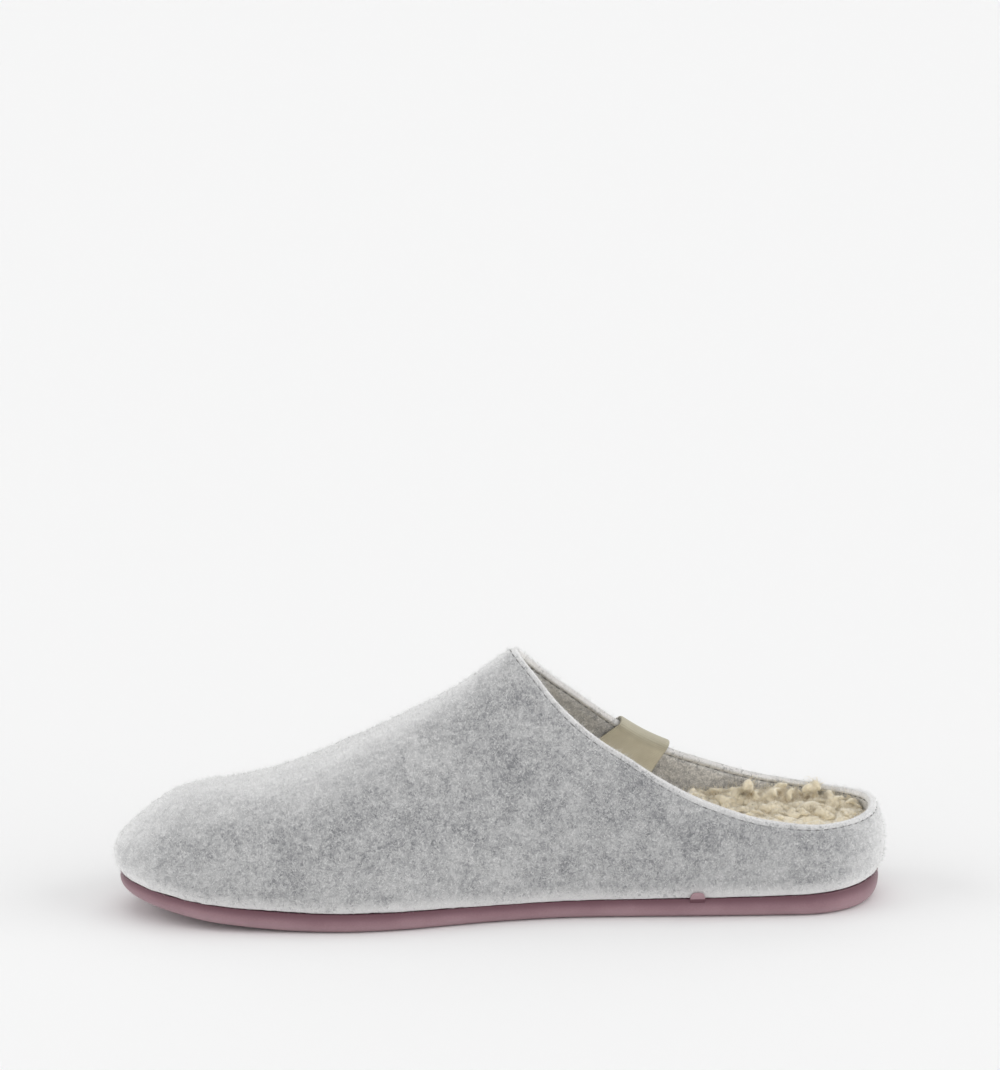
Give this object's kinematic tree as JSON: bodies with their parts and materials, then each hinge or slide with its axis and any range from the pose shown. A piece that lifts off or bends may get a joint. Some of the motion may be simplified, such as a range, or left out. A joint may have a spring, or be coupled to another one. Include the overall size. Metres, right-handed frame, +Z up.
{
  "type": "felt slipper",
  "caption": "Backless felt house slipper for the right foot, with a moulded rubber sole, a wool-pile footbed and a woven tape folded over the outer side of its low collar.",
  "frame": {"origin": "middle of the slipper's bounding box, on the floor under the sole", "axes": "+X from heel to toe, +Y to the inner side of the right foot, +Z up"},
  "size_m": [0.2608, 0.0958, 0.0868],
  "materials": {
    "sole_rubber": "satin dusky mauve moulded rubber",
    "felt": "pressed wool felt, light grey with darker flecks, fuzzy",
    "wool": "curly undyed wool pile",
    "tape": "fine ribbed woven tape, khaki"
  },
  "bodies": {
    "root": {"outsole": "sole_rubber", "upper": "felt", "insole": "wool", "tab": "tape"}
  },
  "joints": []
}
